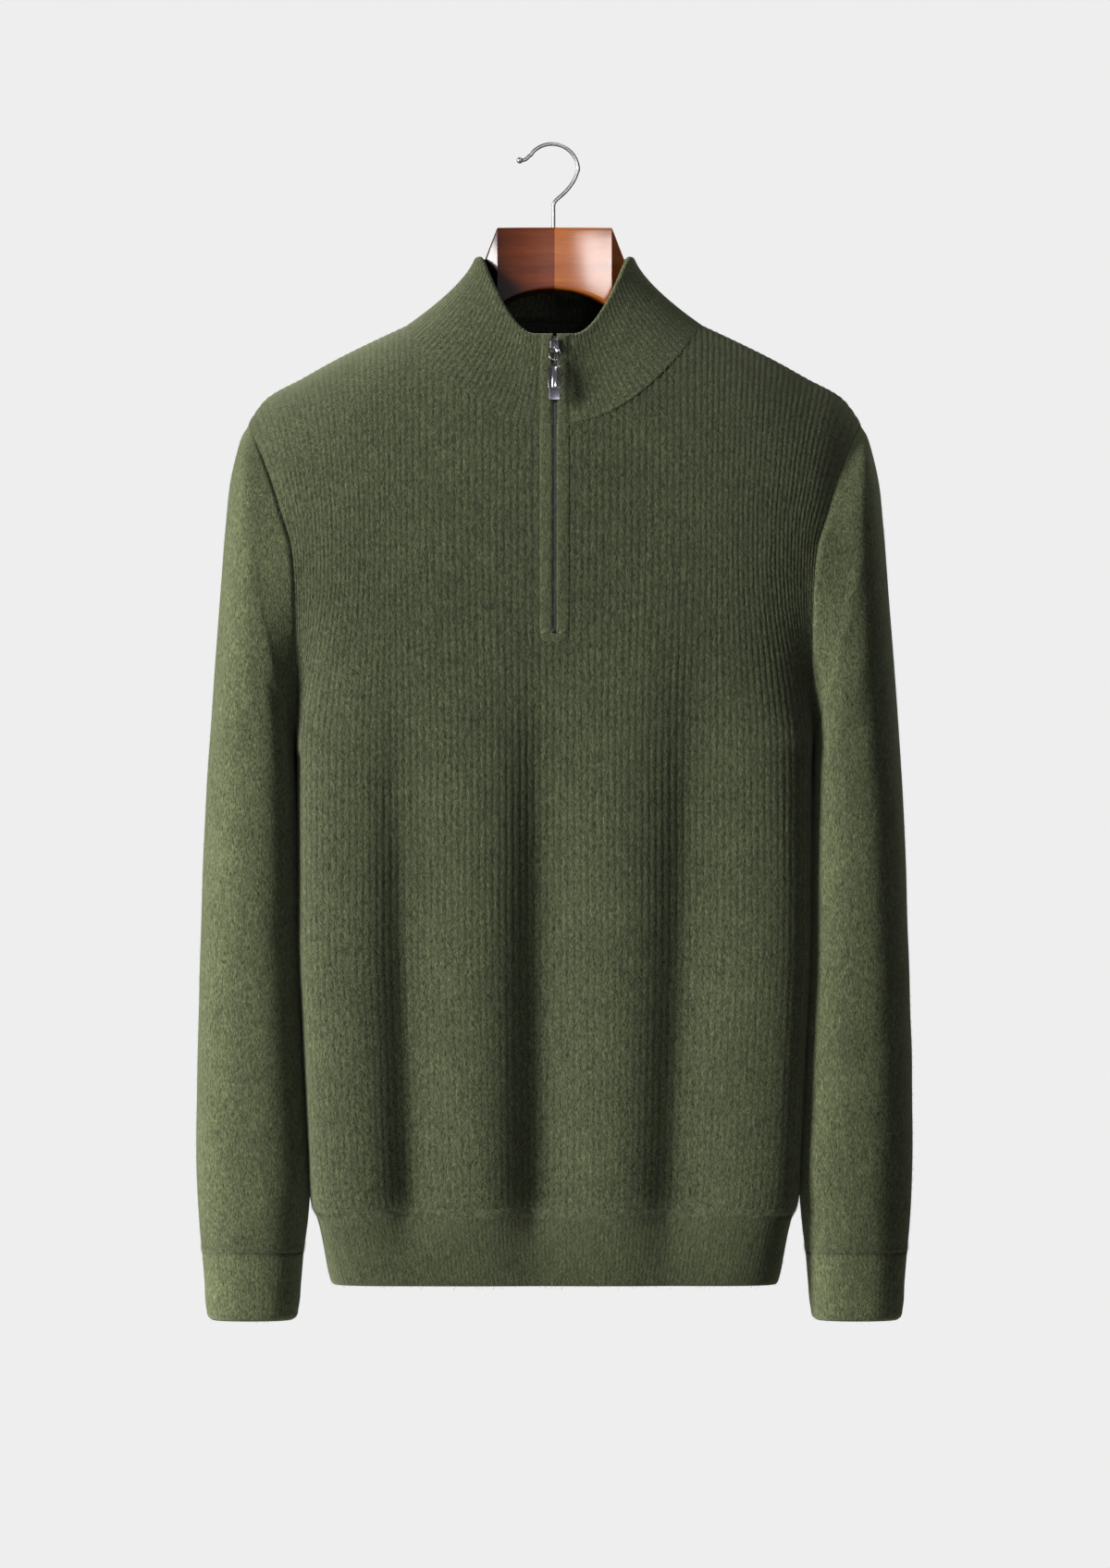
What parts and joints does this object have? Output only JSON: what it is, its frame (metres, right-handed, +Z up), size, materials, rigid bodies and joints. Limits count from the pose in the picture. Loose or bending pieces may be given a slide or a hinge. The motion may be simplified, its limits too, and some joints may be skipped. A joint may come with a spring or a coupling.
{
  "type": "quarter zip sweater on a wooden hanger",
  "caption": "Hollow ribbed knit sweater with a stand collar and a short closed zip, hanging on a wooden hanger with a wire hook.",
  "frame": {"origin": "underside of the hook's crown, where a rail carries the hanger", "axes": "+X to the right seen from the front, +Y to the back, +Z up"},
  "size_m": [0.5164, 0.1272, 0.8513],
  "materials": {
    "rib_knit": "brushed ribbed wool knit, olive green",
    "plain_knit": "brushed plain wool knit, olive green",
    "band_knit": "fine ribbed wool band, olive green",
    "zip_tape": "woven tape with dark teeth",
    "gunmetal": "polished dark nickel",
    "hanger_wood": "glossy lacquered red-brown wood",
    "hook_steel": "polished steel wire"
  },
  "bodies": {
    "garment": {"front_panel": "rib_knit", "back_panel": "rib_knit", "hem_front": "band_knit", "hem_back": "band_knit", "sleeve_left": "plain_knit", "sleeve_right": "plain_knit", "cuff_left": "band_knit", "cuff_right": "band_knit", "collar": "rib_knit", "placket": "band_knit", "zip_chain": "zip_tape", "zip_slider": "gunmetal", "hanger_left": "hanger_wood", "hanger_right": "hanger_wood", "hanger_hook": "hook_steel"},
    "ring": {"pull_ring": "gunmetal"},
    "tab": {"pull_tab": "gunmetal"}
  },
  "joints": [
    {"name": "ring_swing", "type": "hinge", "parent": "garment", "child": "ring", "pos_m": [0, -0.05073, -0.149], "axis": [-1, 0, 0], "range_deg": [0, 120]},
    {"name": "tab_swing", "type": "hinge", "parent": "ring", "child": "tab", "pos_m": [0, -0.05421, -0.15859], "axis": [-1, 0, 0], "range_deg": [0, 90]}
  ]
}
